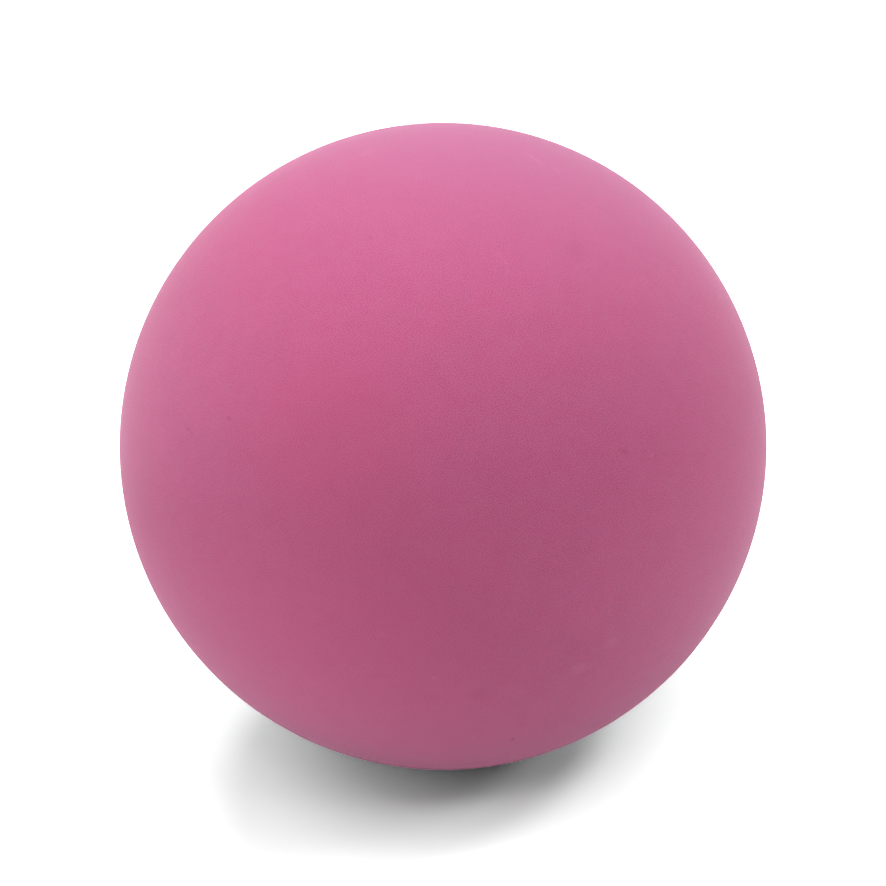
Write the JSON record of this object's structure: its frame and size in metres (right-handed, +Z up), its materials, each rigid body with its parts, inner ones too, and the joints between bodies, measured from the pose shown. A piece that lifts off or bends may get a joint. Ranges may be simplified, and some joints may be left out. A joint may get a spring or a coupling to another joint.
{
  "type": "bouncy ball",
  "caption": "Hollow, pressurised, matt rubber ball of cemented half shells with a self-sealing gum plug inside, for bouncing, throwing and catching.",
  "frame": {"origin": "centre of the ball", "axes": "+Z up from the surface that the ball lies on, -Y towards the viewer; the mould axis lies in the YZ plane, with its front pole towards -Y and 28 degrees above level, and the needle's pole opposite"},
  "size_m": [0.06, 0.06, 0.06],
  "materials": {
    "shell_rubber": "finely ground, matt pink rubber",
    "seam_cement": "cured rubber cement, ground flush outside",
    "plug_gum": "soft amber gum rubber",
    "plug_cement": "cured rubber cement"
  },
  "bodies": {
    "root": {"front_half_shell": "shell_rubber", "back_half_shell": "shell_rubber", "seam_cement": "seam_cement", "inflation_plug": "plug_gum", "plug_cement": "plug_cement"}
  },
  "joints": []
}
